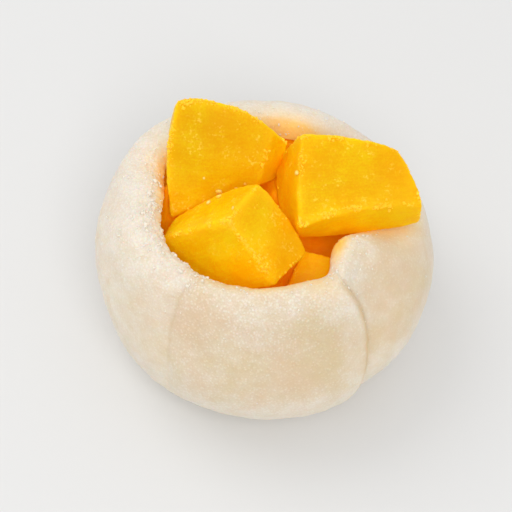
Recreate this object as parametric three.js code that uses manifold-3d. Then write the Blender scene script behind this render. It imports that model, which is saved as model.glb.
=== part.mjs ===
// A mango mochi: a ball of soft rice dough, folded up round chunks of ripe mango and left open at the top.
//
// Units are millimetres and +Z is up. The flat foot of the ball lies on z = 0 with its middle at the origin,
// and -Y is the front, where the broad front lobe of the dough laps over its right-hand neighbour.
// Directions round the ball are turns in degrees: 0 is the front, 90 the right, 180 the back, -90 the left.

import * as THREE from "three";
import { mergeVertices } from "three/addons/utils/BufferGeometryUtils.js";
import Module from "manifold-3d";

const wasm = await Module();
wasm.setup();

// ---- Driving dimensions of the dough ball ----
const BALL_RADIUS = 31; // half the width, left to right
const DEPTH_SHARE = 0.945; // front-to-back size over the width
const EQUATOR_HEIGHT = 17; // height of the widest level
const FOOT_RADIUS = 18.5; // flat patch that the ball rests on
const RIM_HEIGHT = 36; // crest of the rolled rim
const MOUTH_RADIUS = 18.4; // opening at its narrowest, left to right
const MOUTH_DEPTH_SHARE = 0.88; // front-to-back size of the opening over its width
const MOUTH_SHIFT = new THREE.Vector2(-0.8, 2.4); // middle of the opening, off the ball's own middle
const LIP_WIDTH = 3; // from the rim's crest to the edge of the opening
const LIP_DEPTH = 3.6; // from the rim's crest down to the narrowest part
const WALL = 4.8; // thickness of the dough at its side
const FLOOR = 6; // thickness of the dough under the fruit

const CREST_RADIUS = MOUTH_RADIUS + LIP_WIDTH;
const HOLLOW_RADIUS = BALL_RADIUS - WALL;
const HOLLOW_FOOT = FOOT_RADIUS - 2;

const BELLY_SHARE = 0.45; // share of the way up the outside that lies below the widest level
const RELIEF_START = 0.9; // radians up the belly by which folds and waves have their full depth

const GAP = 0.35; // room left between pieces that touch

// ---- How finely the dough is faceted ----
const DOUGH_COLUMNS = 104;
const ROWS = { foot: 2, belly: 8, shoulder: 11, lip: 4, hollow: 5, bowl: 4, floor: 2 };
const LAP_CROWDING = 0.72; // how much closer the columns stand at the lapped fold
const LAP_REACH = 0.07; // share of the columns over which they spread out again

// ---- The lapped fold, where the front lobe lies over the dough on its right ----
const LAP = {
  footTurn: 27, // where it runs under the ball
  lean: 12, // how far it swings round to the right on its way up
  leanEnd: 0.74, // share of the way up where that swing ends
  hook: 2, // how far it swings back from there to the rim
  step: 1.7, // how far the lobe stands above the dough beside it
  edge: 1.3, // radius of the lobe's rolled edge
  overhang: 0.5, // how far that edge hangs over the tucked dough
  recovery: 6.5, // how soon the tucked dough swells back
  wrap: 140, // degrees that the edge rolls round
  rimFade: 0.86, // share of the way up from where it fades towards the rim
  rimLoss: 0.75, // how much of it is gone at the rim
};

// ---- Soft creases between the other lobes: turn at the rim and at the foot, depth and half-width ----
const CREASES = [
  { topTurn: -33.4, footTurn: -34.6, depth: 1.1, width: 2, low: 0.42, high: 1 },
  { topTurn: -96, footTurn: -58, depth: 0.7, width: 2.6, low: 0.05, high: 0.52 },
  { topTurn: 122, footTurn: 112, depth: 0.5, width: 3.8, low: 0, high: 1 },
  { topTurn: 200, footTurn: 212, depth: 0.8, width: 3.4, low: 0, high: 1 },
];
const CREASE_FADE = 0.1; // share of the way up over which a crease begins and ends
const CREASE_PINCH = 0.45; // how much of a crease is sharp at its bottom rather than round

// ---- Slow unevenness of hand-shaped dough: waves round the ball, which drift with the height ----
const HAND_WAVES = [
  { lobes: 2, out: 0.22, start: 0.7, drift: 0 },
  { lobes: 3, out: 0.16, start: 0, drift: 0.11 },
  { lobes: 5, out: 0.1, start: 1.3, drift: -0.17 },
];

// ---- Shape of the opening: bumps in its radius and in the rim's height, by turn and angular half-width ----
const MOUTH_BUMPS = [
  { turn: 36, spread: 8, out: 1.5 }, // corner where the lapped fold meets the rim
  { turn: 60, spread: 20, out: -3.1 }, // the right-hand flap leans in
  { turn: -99, spread: 26, out: -1.3 }, // the left-hand side leans in as well
  { turn: -132, spread: 20, out: 3.2 }, // pushed out by the fruit that leans on it
];
const RIM_BUMPS = [
  { turn: 56, spread: 15, out: -1.4, fade: 2 }, // the right-hand flap is a little lower than the front lobe
  { turn: 109, spread: 37.5, out: -8.8, power: 5, fade: 3 }, // pressed down by the fruit that lies on it
  { turn: -130, spread: 22, out: -4, fade: 2 }, // and by the fruit that leans on it
  { turn: 180, spread: 60, out: -3, fade: 1.5 },
];

// ---- Mango chunks ----
// Each is a block with a width (x), depth (y) and height (z), turned by degrees about its own x, y and z,
// and its middle stands at a point. No cut is quite square: a face slopes by so many millimetres towards the
// ends of its two edges, and a third number twists it; it bows out along each edge, and a third bow makes the
// first one grow towards the far edge.
const CHUNK_SEGMENTS = 8;
const CHUNKS = {
  mango_left: {
    size: [17.6, 6.5, 15.6],
    at: [-7.1, 11.5, 34.1],
    turn: [-36.9, 5.1, -6.1],
    edge: 0.6,
    slope: {
      right: [1.3, 0.8],
      left: [-0.6, -0.2],
      back: [0, -2.7],
      front: [1.9, 0.6],
      top: [-2.4, -1.4],
      bottom: [3.5, -0.9],
    },
    bow: { top: [2.4, 0], left: [0, 1.2], front: [0.5, 0.4], back: [0.8, 0.8] },
  },
  mango_right: {
    size: [20.1, 14.2, 8],
    at: [15.45, 6.6, 33],
    turn: [8.8, 2.4, 4.5],
    edge: 0.7,
    slope: {
      right: [-1.7, -0.2],
      left: [0.2, 0.5, 0.7],
      back: [-1.7, -0.4],
      front: [1, 0.1, 0.6],
      top: [-0.8, 0.6],
      bottom: [0.8, -0.5],
    },
    bow: { top: [0.3, 0.3], left: [1.5, 0, -1.2], right: [0.6, 0], back: [0.8, 0], front: [-0.3, 0.2, -1] },
  },
  mango_front: {
    size: [19, 7, 13.6],
    at: [-7.4, -4.1, 30.1],
    turn: [-27.1, -29.9, -15.5],
    edge: 0.7,
    slope: {
      right: [2, -0.9],
      left: [1, 1.4],
      back: [0.8, 1],
      front: [-0.9, 1.3],
      top: [0.5, 0],
      bottom: [-1, -0.6],
    },
    bow: { top: [0.4, 0.1], right: [0.2, 0.3], front: [0.3, 0.3], back: [1.2, 0.8] },
  },
  mango_low: {
    size: [6.8, 6.3, 8.4],
    at: [8.4, -6.4, 22.7],
    turn: [8.5, 0.3, -8],
    edge: 0.6,
    slope: {
      right: [-0.5, -0.2],
      left: [1.1, 0.4],
      back: [-0.3, 0],
      front: [0.9, 0.3],
      top: [0, 0.4],
      bottom: [0.2, -0.2],
    },
    bow: { top: [0.3, 0.2], right: [0.2, 0.2] },
  },
};

// ---- Bed of soft flesh under the chunks: its level above the equator, and the mounds that fill gaps ----
const BED = {
  level: 6,
  highest: 17.5,
  mounds: [
    { at: [2.6, 12], rise: 4, spread: 4 }, // between the left and right chunks
    { at: [1.8, 6.5], rise: 6, spread: 3 }, // and between the front and right chunks
    { at: [5.2, 20], rise: 10, spread: 4 }, // behind them, up the back of the hollow
    { at: [-17, 7], rise: 9, spread: 5 }, // beside the left chunk
  ],
  lumps: 0.5,
  wallRows: 3,
  rings: 7,
  columns: 44,
};

const radians = THREE.MathUtils.degToRad;
const smoothstep = THREE.MathUtils.smoothstep;

// Shortest signed difference between two turns, in degrees.
function turnBetween(turn, from) {
  return THREE.MathUtils.euclideanModulo(turn - from + 180, 360) - 180;
}

function bump(b, turn) {
  return b.out * Math.exp(-(Math.abs(turnBetween(turn, b.turn) / b.spread) ** (b.power ?? 2)));
}

// ---- Profile of the dough: foot, belly, shoulder, rolled lip, hollow, floor ----
// Each row holds its radius and height, the outward normal, how far up the outside it lies (0 foot, 1 crest),
// how much of the outside relief it takes, how much it follows the shifted, uneven mouth, and whether it lies
// on the inside.
function quarterArc(rows, place) {
  return Array.from({ length: rows }, (_, i) => place(((i + 1) / rows) * (Math.PI / 2)));
}

function doughRows() {
  const foot = Array.from({ length: ROWS.foot + 1 }, (_, i) => ({
    r: (FOOT_RADIUS * i) / ROWS.foot,
    z: 0,
    normal: [0, -1],
    up: 0,
    relief: 0,
    mouth: 0,
    inside: false,
  }));
  const belly = quarterArc(ROWS.belly, (a) => ({
    r: FOOT_RADIUS + (BALL_RADIUS - FOOT_RADIUS) * Math.sin(a),
    z: EQUATOR_HEIGHT * (1 - Math.cos(a)),
    normal: [Math.sin(a) / (BALL_RADIUS - FOOT_RADIUS), -Math.cos(a) / EQUATOR_HEIGHT],
    up: (BELLY_SHARE * a) / (Math.PI / 2),
    relief: smoothstep(a, 0, RELIEF_START),
    mouth: 0,
    inside: false,
  }));
  const shoulder = quarterArc(ROWS.shoulder, (a) => ({
    r: CREST_RADIUS + (BALL_RADIUS - CREST_RADIUS) * Math.cos(a),
    z: EQUATOR_HEIGHT + (RIM_HEIGHT - EQUATOR_HEIGHT) * Math.sin(a),
    normal: [Math.cos(a) / (BALL_RADIUS - CREST_RADIUS), Math.sin(a) / (RIM_HEIGHT - EQUATOR_HEIGHT)],
    up: BELLY_SHARE + ((1 - BELLY_SHARE) * a) / (Math.PI / 2),
    relief: 1,
    mouth: smoothstep(Math.sin(a), 0, 1),
    inside: false,
  }));
  const lip = quarterArc(ROWS.lip, (a) => ({
    r: CREST_RADIUS - LIP_WIDTH * Math.sin(a),
    z: RIM_HEIGHT - LIP_DEPTH * (1 - Math.cos(a)),
    normal: [-Math.sin(a) / LIP_WIDTH, Math.cos(a) / LIP_DEPTH],
    up: 1,
    relief: Math.cos(a) ** 2,
    mouth: 1,
    inside: true,
  }));
  const hollow = quarterArc(ROWS.hollow, (a) => ({
    r: MOUTH_RADIUS + (HOLLOW_RADIUS - MOUTH_RADIUS) * Math.sin(a),
    z: EQUATOR_HEIGHT + (RIM_HEIGHT - LIP_DEPTH - EQUATOR_HEIGHT) * Math.cos(a),
    normal: [-1, 0],
    up: 1,
    relief: 0,
    mouth: Math.cos(a),
    inside: true,
  }));
  const bowl = quarterArc(ROWS.bowl, (a) => ({
    r: HOLLOW_FOOT + (HOLLOW_RADIUS - HOLLOW_FOOT) * Math.cos(a),
    z: EQUATOR_HEIGHT - (EQUATOR_HEIGHT - FLOOR) * Math.sin(a),
    normal: [-1, 0],
    up: 0,
    relief: 0,
    mouth: 0,
    inside: true,
  }));
  const floor = Array.from({ length: ROWS.floor }, (_, i) => ({
    r: HOLLOW_FOOT * (1 - (i + 1) / ROWS.floor),
    z: FLOOR,
    normal: [0, 1],
    up: 0,
    relief: 0,
    mouth: 0,
    inside: true,
  }));
  return [...foot, ...belly, ...shoulder, ...lip, ...hollow, ...bowl, ...floor];
}

// The lapped fold in section: from a distance along the ring, in millimetres from the fold, to where the
// surface lies across the fold and how deep it has dropped.
function lapSection(across, strength) {
  const { edge, overhang, recovery, step } = LAP;
  const wrap = radians(LAP.wrap);
  const end = -edge + (edge + overhang) * Math.sin(wrap);
  if (across <= -edge) return { across, drop: 0 };
  if (across < edge) {
    const roll = (wrap * (across + edge)) / (2 * edge);
    const rolled = -edge + (edge + overhang) * Math.sin(roll);
    return {
      across: across + (rolled - across) * strength,
      drop: (strength * step * (1 - Math.cos(roll))) / (1 - Math.cos(wrap)),
    };
  }
  const fade = Math.exp((edge - across) / recovery);
  const near = Math.exp((edge - across) / edge);
  return { across: across + (end - edge) * near * strength, drop: strength * step * fade };
}

function creaseDepth(row, turn) {
  return CREASES.reduce((sum, c) => {
    const line = c.footTurn + (c.topTurn - c.footTurn) * row.up;
    const across = radians(turnBetween(turn, line)) * row.r;
    const begins = smoothstep(row.up, c.low - CREASE_FADE, c.low + CREASE_FADE);
    const ends = 1 - smoothstep(row.up, c.high - CREASE_FADE, c.high + CREASE_FADE);
    const round = Math.exp(-((across / c.width) ** 2));
    const pinched = Math.exp(-Math.abs(across) / (2 * c.width));
    return sum + c.depth * THREE.MathUtils.lerp(round, pinched, CREASE_PINCH) * begins * ends;
  }, 0);
}

function handWaves(turn, height) {
  const wave = (w) => w.out * Math.sin(w.lobes * radians(turn) + w.drift * height + w.start);
  return HAND_WAVES.reduce((sum, w) => sum + wave(w), 0);
}

// Columns stand closer at the lapped fold, where share is 0 or 1.
function columnTurn(share) {
  const w = share < 0.5 ? share : share - 1;
  return 360 * w * (1 - LAP_CROWDING * Math.exp(-((w / LAP_REACH) ** 2)));
}

// A point of a row: its radius and height, with the uneven mouth and rim, shifted towards the mouth's middle.
function ringPoint(row, turn, relief) {
  const [nr, nz] = row.normal;
  const length = Math.hypot(nr, nz);
  const widening = MOUTH_BUMPS.reduce((sum, b) => sum + bump(b, turn), 0);
  const r = row.r + (relief * nr) / length + widening * row.mouth ** 3;
  const rise = Math.max(0, row.z - EQUATOR_HEIGHT) / (RIM_HEIGHT - EQUATOR_HEIGHT);
  const lift = RIM_BUMPS.reduce((sum, b) => sum + bump(b, turn) * rise ** (row.inside ? 1 : b.fade), 0);
  const depth = THREE.MathUtils.lerp(DEPTH_SHARE, MOUTH_DEPTH_SHARE, row.mouth);
  const t = radians(turn);
  return new THREE.Vector3(
    r * Math.sin(t) + MOUTH_SHIFT.x * row.mouth,
    -r * Math.cos(t) * depth + MOUTH_SHIFT.y * row.mouth,
    Math.max(0, row.z + (relief * nz) / length + lift),
  );
}

function doughPoint(row, share) {
  const lean = LAP.lean * smoothstep(row.up, 0.05, LAP.leanEnd);
  const hook = LAP.hook * smoothstep(row.up, LAP.leanEnd, 1);
  const perMillimetre = THREE.MathUtils.radToDeg(1 / Math.max(row.r, 6));
  const strength = row.relief * (1 - LAP.rimLoss * smoothstep(row.up, LAP.rimFade, 1));
  const lap = lapSection(columnTurn(share) / perMillimetre, strength);
  const turn = LAP.footTurn + lean - hook + lap.across * perMillimetre;
  return ringPoint(row, turn, (handWaves(turn, row.z) - creaseDepth(row, turn)) * row.relief - lap.drop);
}

// A lathe form whose every point is then put where "place" says, by row and by share of the way round.
function turnedGeometry(rows, columns, place) {
  const outline = rows.map((row) => new THREE.Vector2(row.r, row.z));
  const geometry = new THREE.LatheGeometry(outline, columns);
  const position = geometry.getAttribute("position");
  for (let column = 0; column <= columns; column++) {
    rows.forEach((row, i) => {
      const p = place(row, (column % columns) / columns);
      position.setXYZ(column * rows.length + i, p.x, p.y, p.z);
    });
  }
  return closedGeometry(geometry);
}

// Only position is kept, and shared vertices are merged, so that the surface is closed.
function closedGeometry(geometry) {
  geometry.deleteAttribute("normal");
  geometry.deleteAttribute("uv");
  return mergeVertices(geometry, 1e-4);
}

// ---- A mango chunk: a box with rounded edges, sloping faces and bowed cuts ----
// The outermost step of the box's grid is narrowed to the width of the rounded edge.
function gridStep(share, half, edge) {
  const steps = CHUNK_SEGMENTS / 2;
  const inner = (half - edge) * Math.min(1, (Math.abs(share) * steps) / (steps - 1));
  return Math.sign(share) * (Math.abs(share) > 1 - 1e-6 ? half : inner);
}

function chunkPoint(chunk, corner, grow) {
  const half = chunk.size.map((s) => s / 2 + grow);
  const p = corner.map((share, axis) => gridStep(share, half[axis], chunk.edge));
  const core = p.map((v, axis) => THREE.MathUtils.clamp(v, chunk.edge - half[axis], half[axis] - chunk.edge));
  const out = new THREE.Vector3(...p.map((v, axis) => v - core[axis])).setLength(chunk.edge);
  const rounded = core.map((v, axis) => v + out.getComponent(axis));
  const unit = rounded.map((v, axis) => v / half[axis]);
  const sides = [
    ["left", "right"],
    ["front", "back"],
    ["bottom", "top"],
  ];
  return new THREE.Vector3(
    ...rounded.map((v, axis) => {
      const [s, t] = unit.filter((_, other) => other !== axis);
      const shifts = sides[axis].map((side, i) => {
        const [slopeS, slopeT, twist = 0] = chunk.slope[side];
        const [bowS, bowT, flare = 0] = chunk.bow[side] ?? [0, 0];
        const bulge = (bowS + flare * t) * (1 - s * s) + bowT * (1 - t * t);
        return slopeS * s + slopeT * t + twist * s * t + (i ? bulge : -bulge);
      });
      return v + THREE.MathUtils.lerp(shifts[0], shifts[1], (1 + unit[axis]) / 2);
    }),
  );
}

function chunkGeometry(chunk, grow = 0) {
  const n = CHUNK_SEGMENTS;
  const geometry = new THREE.BoxGeometry(2, 2, 2, n, n, n);
  const position = geometry.getAttribute("position");
  const corner = new THREE.Vector3();
  for (let i = 0; i < position.count; i++) {
    const p = chunkPoint(chunk, corner.fromBufferAttribute(position, i).toArray(), grow);
    position.setXYZ(i, p.x, p.y, p.z);
  }
  geometry.applyQuaternion(new THREE.Quaternion().setFromEuler(new THREE.Euler(...chunk.turn.map(radians))));
  geometry.translate(...chunk.at);
  return closedGeometry(geometry);
}

// ---- The bed of soft flesh under the chunks, which fills the hollow and rises in the gaps between them ----
const WALL_REACH = RIM_HEIGHT - LIP_DEPTH - EQUATOR_HEIGHT; // height of the hollow's wall above the equator
const WALL_TOP = 0.95; // share of that height which the bed reaches at most

// Height of the bed's top above the equator.
function bedLevel(x, y) {
  const lumps = BED.lumps * Math.sin(0.75 * x + 0.6) * Math.cos(0.68 * y - 0.4);
  const heightOf = (mound) => {
    const off = Math.hypot(x - mound.at[0], y - mound.at[1]) / mound.spread;
    return mound.rise * Math.exp(-(off ** 2));
  };
  const heaped = BED.mounds.reduce((level, mound) => level + heightOf(mound), BED.level + lumps);
  return Math.min(heaped, BED.highest);
}

// Just inside the hollow's wall, at a share of the climb to the bed's level there.
function bedWall(climb, level) {
  const angle = Math.asin(Math.min(level / WALL_REACH, WALL_TOP)) * climb;
  return {
    r: MOUTH_RADIUS - GAP + (HOLLOW_RADIUS - MOUTH_RADIUS) * Math.cos(angle),
    z: EQUATOR_HEIGHT + WALL_REACH * Math.sin(angle),
    mouth: Math.sin(angle),
  };
}

function bedRows() {
  const side = { relief: 0, normal: [0, 1], inside: true };
  const foot = [0, 1].map((i) => ({ ...side, r: i * (HOLLOW_FOOT - GAP), z: FLOOR + GAP, mouth: 0 }));
  const bowl = quarterArc(ROWS.bowl, (a) => ({
    ...side,
    r: HOLLOW_FOOT - GAP + (HOLLOW_RADIUS - HOLLOW_FOOT) * Math.sin(a),
    z: EQUATOR_HEIGHT - (EQUATOR_HEIGHT - FLOOR) * Math.cos(a) + GAP * Math.cos(a),
    mouth: 0,
  }));
  const wall = Array.from({ length: BED.wallRows }, (_, i) => ({ ...side, climb: (i + 1) / BED.wallRows }));
  const rings = Array.from({ length: BED.rings }, (_, i) => ({
    ...side,
    climb: 1,
    across: 1 - (i + 1) / BED.rings,
    surface: smoothstep(i + 1, 0, 2),
  }));
  return [...foot, ...bowl, ...wall, ...rings];
}

function bedPoint(row, share) {
  const turn = 360 * share;
  if (!row.climb) return ringPoint(row, turn, 0);
  const plainWall = bedWall(1, BED.level);
  const plain = ringPoint({ ...row, ...plainWall }, turn, 0);
  const rim = ringPoint({ ...row, ...bedWall(row.climb, bedLevel(plain.x, plain.y)) }, turn, 0);
  if (!row.surface) return rim;
  const middle = new THREE.Vector3(MOUTH_SHIFT.x * plainWall.mouth, MOUTH_SHIFT.y * plainWall.mouth, rim.z);
  const p = rim.lerp(middle, 1 - row.across);
  return p.setZ(THREE.MathUtils.lerp(p.z, EQUATOR_HEIGHT + bedLevel(p.x, p.y), row.surface));
}

// ---- Manifold solids, for cutting the bed where the chunks are sunk into it ----
function solidOf(geometry) {
  return new wasm.Manifold(
    new wasm.Mesh({
      numProp: 3,
      vertProperties: geometry.getAttribute("position").array,
      triVerts: new Uint32Array(geometry.index.array),
    }),
  );
}

function geometryOf(solid) {
  const mesh = solid.getMesh();
  const geometry = new THREE.BufferGeometry();
  geometry.setAttribute("position", new THREE.BufferAttribute(mesh.vertProperties, 3));
  geometry.setIndex(new THREE.BufferAttribute(mesh.triVerts, 1));
  return geometry;
}

// ---- Materials ----
const dough = new THREE.MeshStandardMaterial({ color: 0xe9dcc8, roughness: 0.75, metalness: 0 });
const mango = new THREE.MeshStandardMaterial({ color: 0xf8b414, roughness: 0.35, metalness: 0 });
const pulp = new THREE.MeshStandardMaterial({ color: 0xe0700c, roughness: 0.3, metalness: 0 });

const part = new THREE.Group();

function addPiece(name, geometry, material) {
  const piece = new THREE.Mesh(geometry, material);
  piece.name = name;
  part.add(piece);
}

addPiece("mochi_skin", turnedGeometry(doughRows(), DOUGH_COLUMNS, doughPoint), dough);
for (const [name, chunk] of Object.entries(CHUNKS)) addPiece(name, chunkGeometry(chunk), mango);
const cuts = Object.values(CHUNKS).map((chunk) => solidOf(chunkGeometry(chunk, GAP)));
const wholeBed = solidOf(turnedGeometry(bedRows(), BED.columns, bedPoint));
addPiece("mango_bed", geometryOf(cuts.reduce((bed, cut) => bed.subtract(cut), wholeBed)), pulp);

export default part;
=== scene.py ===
"""A mango mochi: a starch-dusted ball of soft rice dough, left open at the top and filled with ripe mango.

Lengths are millimetres until a mesh is made, which turns them into metres. The foot of the ball lies on z = 0
with its middle at the origin, and -Y is the front. Directions round the ball are turns in degrees: 0 is the
front, 90 the right, 180 the back and -90 the left.
"""

import math

import bpy
import numpy as np
from mathutils import Matrix, Vector, noise
from mathutils.bvhtree import BVHTree


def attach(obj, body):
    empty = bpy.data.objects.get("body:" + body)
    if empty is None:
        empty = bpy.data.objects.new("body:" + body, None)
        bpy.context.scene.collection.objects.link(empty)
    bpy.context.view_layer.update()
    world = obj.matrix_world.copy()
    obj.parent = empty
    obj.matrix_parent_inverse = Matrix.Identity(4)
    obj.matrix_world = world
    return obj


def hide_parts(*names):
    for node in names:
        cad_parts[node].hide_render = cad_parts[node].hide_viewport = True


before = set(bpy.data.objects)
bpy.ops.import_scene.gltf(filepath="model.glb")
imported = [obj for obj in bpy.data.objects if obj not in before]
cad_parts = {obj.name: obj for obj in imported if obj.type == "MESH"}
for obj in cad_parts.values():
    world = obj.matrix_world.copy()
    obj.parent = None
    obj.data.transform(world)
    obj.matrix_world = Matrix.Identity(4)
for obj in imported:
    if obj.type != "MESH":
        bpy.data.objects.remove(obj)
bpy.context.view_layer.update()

MM = 0.001

# ---- Driving sizes of the dough ball, as in the solids ----
BALL_RADIUS = 31.0  # half the width, left to right
DEPTH_SHARE = 0.945  # front-to-back size over the width
EQUATOR_HEIGHT = 17.0  # height of the widest level
FOOT_RADIUS = 18.5  # flat patch that the ball rests on
RIM_HEIGHT = 36.0  # crest of the rolled rim
MOUTH_RADIUS = 18.4  # opening at its narrowest, left to right
MOUTH_DEPTH_SHARE = 0.88  # front-to-back size of the opening over its width
MOUTH_SHIFT = (-0.8, 2.4)  # middle of the opening, off the ball's own middle
LIP_WIDTH = 3.0  # from the rim's crest to the edge of the opening
LIP_DEPTH = 3.6  # from the rim's crest down to the narrowest part
WALL = 4.8  # thickness of the dough at its side
FLOOR = 6.0  # thickness of the dough under the fruit
FLOOR_INSET = 2.0  # how much smaller the hollow's flat floor is than the foot
CREST_RADIUS = MOUTH_RADIUS + LIP_WIDTH  # crest of the rim
HOLLOW_RADIUS = BALL_RADIUS - WALL  # hollow at its widest
HOLLOW_FOOT = FOOT_RADIUS - FLOOR_INSET
SHOULDER_RISE = RIM_HEIGHT - EQUATOR_HEIGHT
WALL_REACH = RIM_HEIGHT - LIP_DEPTH - EQUATOR_HEIGHT  # height of the hollow's wall above the widest level
BELLY_SHARE = 0.45  # share of the way up the outside that lies below the widest level
RELIEF_START = 0.9  # angle up the belly, in radians, where folds and waves reach their full depth

# ---- How finely the dough is meshed ----
DOUGH_COLUMNS = 520
DOUGH_ROWS = {"foot": 8, "belly": 52, "shoulder": 74, "lip": 26, "hollow": 12, "bowl": 8, "floor": 4}
LAP_CROWDING = 0.72  # how much closer the columns stand at the lapped fold
LAP_REACH = 0.07  # and over which share of a whole turn

# ---- The lapped fold, where the front lobe lies over the dough on its right, as in the solids ----
LAP = dict(
    foot_turn=27,  # where it runs under the ball
    lean=12,  # how far it swings round to the right on its way up
    lean_start=0.05,  # share of the way up where that swing begins
    lean_end=0.74,  # and where it ends
    hook=2,  # how far it swings back from there to the rim
    step=1.7,  # how far the lobe stands above the dough beside it
    edge=1.3,  # radius of the lobe's rolled edge
    overhang=0.5,  # how far that edge hangs over the tucked dough
    recovery=6.5,  # how soon the tucked dough swells back
    wrap=140,  # degrees that the edge rolls round
    rim_fade=0.86,  # share of the way up from where it fades towards the rim
    rim_loss=0.75,  # how much of it is gone at the rim
    least_radius=6,  # nearer the middle of the foot it is as wide an angle as here
)
SEAM_SHADE_LINE = dict(flat=0.2, fade=0.7)  # painted shade: half width of the dark line under the fold, and how softly it ends

# ---- Creases between the other lobes, and the waves and bumps of hand-shaped dough, as in the solids ----
CREASES = [
    dict(top_turn=-33.4, foot_turn=-34.6, depth=1.1, width=2, low=0.42, high=1),
    dict(top_turn=-96, foot_turn=-58, depth=0.7, width=2.6, low=0.05, high=0.52),
    dict(top_turn=122, foot_turn=112, depth=0.5, width=3.8, low=0, high=1),
    dict(top_turn=200, foot_turn=212, depth=0.8, width=3.4, low=0, high=1),
]
CREASE_FADE = 0.1  # share of the way up over which a crease begins and ends
CREASE_PINCH = 0.45  # how much of a crease is sharp at its bottom rather than round
FRONT_CREASE_SHADE = dict(width=0.35, strength=0.5, low=0.54, high=1)  # painted shade, a dark line in the first crease
LOBE = dict(from_crease=(0, 1), from_fold=(1, 8), up=(0.25, 0.5))  # where the front lobe's look comes up
HAND_WAVES = [  # waves round the ball, which drift with the height
    dict(lobes=2, out=0.22, start=0.7, drift=0),
    dict(lobes=3, out=0.16, start=0, drift=0.11),
    dict(lobes=5, out=0.1, start=1.3, drift=-0.17),
]
MOUTH_BUMPS = [  # in the radius of the opening
    dict(turn=36, spread=8, out=1.5),  # corner where the lapped fold meets the rim
    dict(turn=60, spread=20, out=-3.1),  # the right-hand flap leans in
    dict(turn=-99, spread=26, out=-1.3),  # the left-hand side leans in as well
    dict(turn=-132, spread=20, out=3.2),  # pushed out by the fruit that leans on it
]
RIM_BUMPS = [  # in the height of the rim
    dict(turn=56, spread=15, out=-1.4, fade=2),  # the right-hand flap is a little lower than the front lobe
    dict(turn=109, spread=37.5, out=-8.8, power=5, fade=3),  # pressed down by the fruit that lies on it
    dict(turn=-130, spread=22, out=-4, fade=2),  # and by the fruit that leans on it
    dict(turn=180, spread=60, out=-3, fade=1.5),  # the back is a little lower than the front
]

# ---- Fine relief of the dough that the solids leave out ----
FOOT_FADE = (0.2, 5)  # heights between which it comes up from the flat foot
SKIN_RELIEF = [  # soft dimples and swellings: size across and depth
    dict(size=7.0, depth=0.16, seed=1),
    dict(size=2.4, depth=0.07, seed=2),
    dict(size=0.9, depth=0.03, seed=3),
]
TORN_RIM = dict(size=0.8, depth=0.26, plain=0.25, start=0.93, deepest=-0.3, seed=4)  # the ragged edge
TORN_STRETCHES = [dict(turn=-75, spread=50), dict(turn=66, spread=11)]  # where it is torn the most

# ---- Mango chunks, as in the solids ----
# Each is a block with a width (x), depth (y) and height (z), turned by degrees about its own x, y and z, and
# its middle stands at a place. A face slopes by so many millimetres towards the ends of its two edges, and a
# third number twists it. It bows out along each edge, and a third bow makes the first grow to the far edge.
CHUNK_STEP = 0.27  # length of a mesh cell
EDGE_CELLS = 3  # cells across a rounded edge
CHUNKS = {
    "mango_left": dict(
        size=(17.6, 6.5, 15.6), at=(-7.1, 11.5, 34.1), turn=(-36.9, 5.1, -6.1), edge=0.6,
        slope=dict(right=(1.3, 0.8), left=(-0.6, -0.2), back=(0, -2.7), front=(1.9, 0.6), top=(-2.4, -1.4),
                   bottom=(3.5, -0.9)),
        bow=dict(top=(2.4, 0), left=(0, 1.2), front=(0.5, 0.4), back=(0.8, 0.8)),
    ),
    "mango_right": dict(
        size=(20.1, 14.2, 8), at=(15.45, 6.6, 33), turn=(8.8, 2.4, 4.5), edge=0.7,
        slope=dict(right=(-1.7, -0.2), left=(0.2, 0.5, 0.7), back=(-1.7, -0.4), front=(1, 0.1, 0.6),
                   top=(-0.8, 0.6), bottom=(0.8, -0.5)),
        bow=dict(top=(0.3, 0.3), left=(1.5, 0, -1.2), right=(0.6, 0), back=(0.8, 0), front=(-0.3, 0.2, -1)),
    ),
    "mango_front": dict(
        size=(19, 7, 13.6), at=(-7.4, -4.1, 30.1), turn=(-27.1, -29.9, -15.5), edge=0.7,
        slope=dict(right=(2, -0.9), left=(1, 1.4), back=(0.8, 1), front=(-0.9, 1.3), top=(0.5, 0),
                   bottom=(-1, -0.6)),
        bow=dict(top=(0.4, 0.1), right=(0.2, 0.3), front=(0.3, 0.3), back=(1.2, 0.8)),
    ),
    "mango_low": dict(
        size=(6.8, 6.3, 8.4), at=(8.4, -6.4, 22.7), turn=(8.5, 0.3, -8), edge=0.6,
        slope=dict(right=(-0.5, -0.2), left=(1.1, 0.4), back=(-0.3, 0), front=(0.9, 0.3), top=(0, 0.4),
                   bottom=(0.2, -0.2)),
        bow=dict(top=(0.3, 0.2), right=(0.2, 0.2)),
    ),
}
FLESH_RELIEF = [  # knife-cut fruit: broad waviness, pulp and fine grain
    dict(size=5.0, depth=0.16, seed=11),
    dict(size=1.3, depth=0.06, seed=12),
    dict(size=0.5, depth=0.025, seed=13),
]
GAP_SHADING = dict(reach=2.0, strength=0.3)  # painted shade: how far from its neighbours the flesh is still painted as shaded by them
SHADED_GAPS = [  # painted orange shade in the gaps between the pieces: place, radius and how orange the flesh is painted there
    ((3.5, 13, 31.5), 6, 0.2),
    ((3.5, 6.5, 34.5), 4.5, 0.5),
    ((5.2, 9.5, 37), 3, 0.45),
    ((-17.5, 7, 29), 4, 1),
    ((9.4, 1, 23), 6, 1),
    ((3.5, -7, 25), 4, 0.6),
    ((24, 5, 37), 7, 0.35),
    ((-3.5, 11, 37), 6, 0.3),
    ((3, -4, 32), 5.5, 0.4),
]
LIT_PLACES = [  # painted glow on flesh where the pale dough round it would light it up: place, radius and how strongly
    ((5, 18, 30), 4, 0.8),
    ((-4, -10, 31), 7, 1),
    ((-8, -3, 33), 10, 0.5),
    ((13, -0.5, 32), 6, 0.6),
    ((9.5, -7, 26.5), 4, 0.9),
    ((3, 12, 33), 4, 0.35),
    ((10, 9, 38), 7, 0.2),
    ((-18.1, 15, 22), 3, 1),
]
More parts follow.
